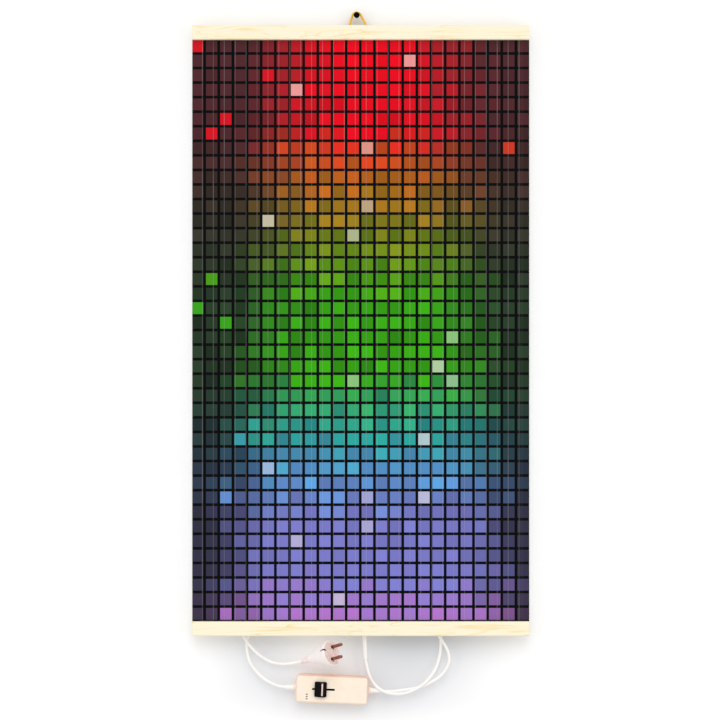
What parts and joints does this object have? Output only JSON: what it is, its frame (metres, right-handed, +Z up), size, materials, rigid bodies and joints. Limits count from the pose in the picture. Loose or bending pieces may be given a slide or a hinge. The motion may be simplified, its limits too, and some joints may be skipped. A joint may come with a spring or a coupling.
{
  "type": "wall-hung film heater",
  "caption": "Roll-up infrared film heater: printed heating sheet between wooden laths, hung by a cord loop from a peg, with a mains lead, in-line slide controller and two-pin plug.",
  "frame": {"origin": "where the peg's axis meets the wall", "axes": "+Z up, +Y into the wall along the nail, +X to the right as the viewer sees the panel"},
  "size_m": [0.5, 0.0818, 1.03],
  "materials": {
    "front_lath_wood": "satin",
    "rear_lath_wood": "satin",
    "printed_film": "satin",
    "back_film": "satin",
    "thread": "matte",
    "screw_brass": "satin",
    "gold_cord": "satin",
    "steel": "satin",
    "black_plastic": "gloss",
    "white_plastic": "satin",
    "terminal_brass": "satin",
    "white_sheath": "satin",
    "tie_fabric": "matte",
    "cream_plastic": "satin",
    "knob_plastic": "satin",
    "index_plastic": "satin",
    "board": "satin",
    "pot_steel": "satin",
    "wiper_plastic": "matte",
    "triac_plastic": "matte",
    "heat_sink_metal": "satin",
    "capacitor_plastic": "gloss",
    "choke_metal": "satin",
    "fuse_glass": "gloss",
    "terminal_plastic": "satin",
    "pin_brass": "satin"
  },
  "bodies": {
    "panel": {"upper_front_lath": "front_lath_wood", "upper_rear_lath": "rear_lath_wood", "lower_front_lath": "front_lath_wood", "lower_rear_lath": "rear_lath_wood", "printed_film": "printed_film", "heating_thread": "thread", "back_film": "back_film", "upper_lath_screws": "screw_brass", "lower_lath_screws": "screw_brass", "hanging_cord": "gold_cord", "hanging_cord_staples": "steel", "peg_head": "black_plastic", "peg_nail": "steel", "junction_cap": "white_plastic", "thread_terminals": "terminal_brass", "lead_sleeve": "white_sheath", "heater_lead_panel_side": "white_sheath", "heater_lead_coil": "white_sheath", "heater_lead_controller_side": "white_sheath", "heater_coil_tie": "tie_fabric", "mains_lead_controller_side": "white_sheath", "mains_lead_coil": "white_sheath", "mains_lead_plug_side": "white_sheath", "mains_coil_tie": "tie_fabric", "controller_front_shell": "cream_plastic", "controller_rear_shell": "cream_plastic", "controller_screws": "steel", "inlet_bush": "white_sheath", "outlet_bush": "white_sheath", "controller_board": "board", "slide_pot_body": "pot_steel", "triac": "triac_plastic", "heat_sink": "heat_sink_metal", "capacitor": "capacitor_plastic", "choke": "choke_metal", "fuse": "fuse_glass", "terminal_blocks": "terminal_plastic", "plug_body": "white_plastic", "plug_bridge": "white_plastic", "plug_pins": "pin_brass"},
    "slider": {"slider_wiper": "wiper_plastic", "slider_knob": "knob_plastic", "knob_index": "index_plastic"}
  },
  "joints": [
    {"name": "power_slide", "type": "slide", "parent": "panel", "child": "slider", "axis": [0.9992, 0, -0.0401], "range_m": [-0.0103, 0.0187]}
  ]
}
